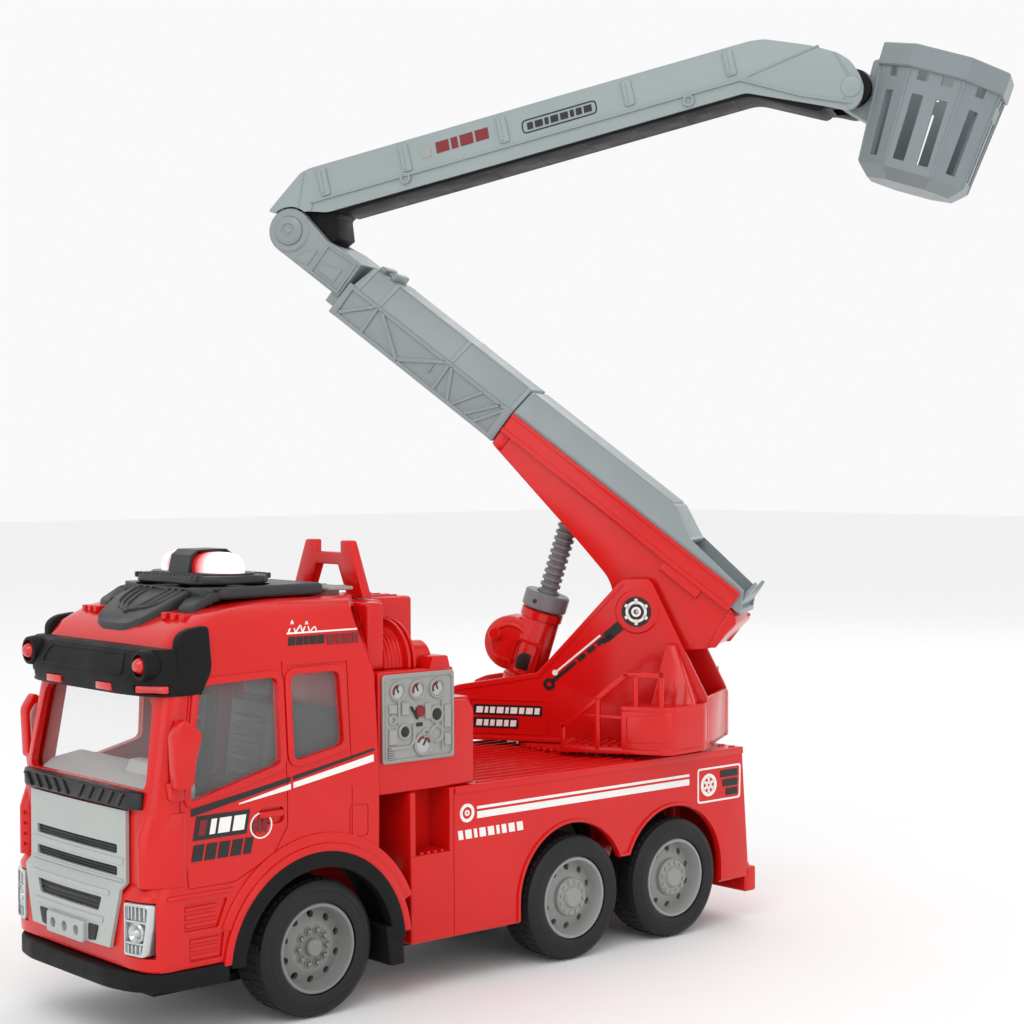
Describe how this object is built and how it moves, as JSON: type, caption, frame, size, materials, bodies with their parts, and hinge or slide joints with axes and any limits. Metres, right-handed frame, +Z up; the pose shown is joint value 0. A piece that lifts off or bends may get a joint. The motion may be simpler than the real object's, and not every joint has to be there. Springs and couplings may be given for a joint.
{
  "type": "toy fire engine",
  "caption": "Toy fire engine with a glazed cab, roof beacon and a swivelling turret whose telescopic boom and folding arm carry a rescue basket.",
  "frame": {"origin": "on the ground, below the middle of the whole part's box at rest", "axes": "+X towards the cab's front, +Y towards the vehicle's left side, +Z up"},
  "size_m": [0.3852, 0.3028, 0.3896],
  "materials": {
    "red_plastic": "gloss",
    "red_lens": "gloss",
    "grey_plastic": "satin",
    "silver_plastic": "satin silver paint",
    "light_grey_plastic": "satin",
    "black_plastic": "satin",
    "dark_grey_plastic": "satin",
    "tyre_rubber": "matte",
    "wheel_grey_plastic": "satin",
    "clear_plastic": "clear gloss",
    "steel": "satin",
    "circuit_board_laminate": "satin"
  },
  "bodies": {
    "vehicle": {"chassis": "black_plastic", "battery_cover": "black_plastic", "button_cells": "steel", "speaker": "dark_grey_plastic", "circuit_board": "circuit_board_laminate", "cab_shell": "red_plastic", "glazing": "clear_plastic", "cab_interior": "dark_grey_plastic", "dashboard": "light_grey_plastic", "grille": "silver_plastic", "grille_trim": "black_plastic", "headlight_left": "silver_plastic", "headlight_right": "silver_plastic", "mirror_left": "red_plastic", "mirror_right": "red_plastic", "front_lip": "dark_grey_plastic", "arch_liner_left": "black_plastic", "arch_liner_right": "black_plastic", "sun_visor": "dark_grey_plastic", "visor_lamp_left": "red_lens", "visor_lamp_right": "red_lens", "marker_lights": "red_lens", "roof_rack": "black_plastic", "roof_plate": "light_grey_plastic", "body_shell": "red_plastic", "pump_house": "red_plastic", "water_tank": "red_plastic", "hose_reel": "red_plastic", "ladder_rest": "red_plastic", "control_panel_left": "light_grey_plastic", "control_panel_right": "light_grey_plastic"},
    "front_axle": {"front_wheels": "wheel_grey_plastic", "front_tyre_left": "tyre_rubber", "front_tyre_right": "tyre_rubber"},
    "middle_axle": {"middle_wheels": "wheel_grey_plastic", "middle_tyre_left": "tyre_rubber", "middle_tyre_right": "tyre_rubber"},
    "rear_axle": {"rear_wheels": "wheel_grey_plastic", "rear_tyre_left": "tyre_rubber", "rear_tyre_right": "tyre_rubber"},
    "beacon": {"beacon_frame": "dark_grey_plastic", "beacon_lens": "red_lens"},
    "turret": {"turntable": "red_plastic", "turntable_retainer": "steel", "turret_frame": "red_plastic", "boom_pin": "steel", "platform_left": "red_plastic", "platform_right": "red_plastic"},
    "jack": {"jack_housing": "red_plastic", "jack_collar": "grey_plastic"},
    "jack_rod": {"jack_rod": "grey_plastic"},
    "boom": {"boom_channel": "red_plastic"},
    "stage": {"boom_liner": "grey_plastic", "truss_section": "grey_plastic"},
    "fork": {"fork": "grey_plastic", "elbow_pin": "grey_plastic"},
    "arm": {"arm_shell": "grey_plastic", "arm_liner": "black_plastic", "knuckle_pin": "steel"},
    "basket": {"basket": "grey_plastic"}
  },
  "joints": [
    {"name": "front_axle_spin", "type": "hinge", "parent": "vehicle", "child": "front_axle", "pos_m": [0.1138, -0.00594, 0.026], "axis": [0, 1, 0], "continuous": true},
    {"name": "middle_axle_spin", "type": "hinge", "parent": "vehicle", "child": "middle_axle", "pos_m": [-0.0168, -0.00594, 0.026], "axis": [0, 1, 0], "continuous": true},
    {"name": "rear_axle_spin", "type": "hinge", "parent": "vehicle", "child": "rear_axle", "pos_m": [-0.0768, -0.00594, 0.026], "axis": [0, 1, 0], "continuous": true},
    {"name": "beacon_press", "type": "slide", "parent": "vehicle", "child": "beacon", "axis": [0, 0, -1], "range_m": [0, 0.0015], "stiffness_N_per_m": 600, "springref_m": -0.001},
    {"name": "turret_swivel", "type": "hinge", "parent": "vehicle", "child": "turret", "pos_m": [-0.0842, -0.00594, 0.081], "axis": [0, 0, 1], "continuous": true},
    {"name": "boom_lift", "type": "hinge", "parent": "turret", "child": "boom", "pos_m": [-0.09355, 0.00933, 0.1408], "axis": [-0.8526, -0.5225, 0], "range_deg": [-30, 15]},
    {"name": "jack_swing", "type": "hinge", "parent": "turret", "child": "jack", "pos_m": [-0.06121, -0.04345, 0.099], "axis": [-0.8526, -0.5225, 0], "range_deg": [-11, 6]},
    {"name": "rack_slide", "type": "slide", "parent": "jack", "child": "jack_rod", "axis": [-0.1543, 0.2518, 0.9554], "range_m": [-0.027, 0.0135]},
    {"name": "boom_extend", "type": "slide", "parent": "boom", "child": "stage", "axis": [0.4145, -0.6764, 0.6088], "range_m": [0, 0.045]},
    {"name": "fork_extend", "type": "slide", "parent": "stage", "child": "fork", "axis": [0.4145, -0.6764, 0.6088], "range_m": [0, 0.03]},
    {"name": "elbow_fold", "type": "hinge", "parent": "fork", "child": "arm", "pos_m": [-0.00584, -0.13379, 0.31498], "axis": [0.8526, 0.5225, 0], "range_deg": [-20, 100]},
    {"name": "basket_tilt", "type": "hinge", "parent": "arm", "child": "basket", "pos_m": [-0.14194, 0.0883, 0.367], "axis": [0.8526, 0.5225, 0], "range_deg": [-30, 40]}
  ],
  "couplings": [
    {"joint": "jack_swing", "follows": "boom_lift", "ratio": 0.345},
    {"joint": "rack_slide", "follows": "boom_lift", "m_per_rad": 0.0489}
  ]
}
